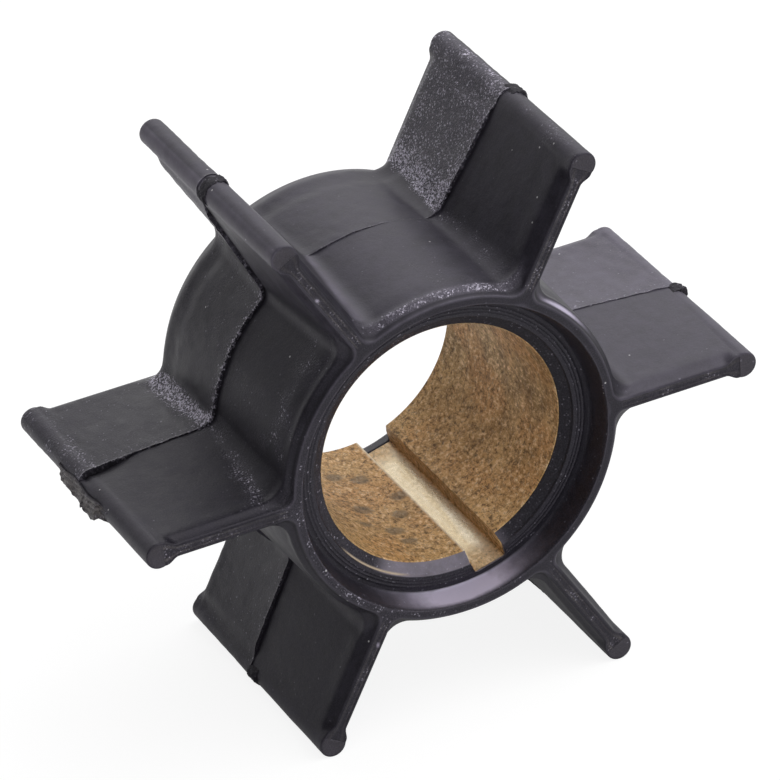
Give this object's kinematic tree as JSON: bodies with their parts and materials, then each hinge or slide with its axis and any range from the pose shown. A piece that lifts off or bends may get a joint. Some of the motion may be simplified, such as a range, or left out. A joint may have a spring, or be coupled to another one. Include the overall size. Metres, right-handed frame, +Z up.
{
  "type": "rubber pump impeller",
  "caption": "Flexible marine pump impeller: black rubber hub with straight radial vanes and round tip beads, moulded on a bronze sleeve with a keyed bore.",
  "frame": {"origin": "on the shaft axis, at the middle of the impeller's width", "axes": "Y along the shaft axis, with the deeper-recessed front face towards -Y; X to the right seen from the front; Z up, standing on the beads of the two lowest vanes"},
  "size_m": [0.0581, 0.026, 0.0501],
  "materials": {
    "rubber": "satin",
    "bronze": "satin"
  },
  "bodies": {
    "root": {"rubber_moulding": "rubber", "keyed_sleeve": "bronze"}
  },
  "joints": []
}
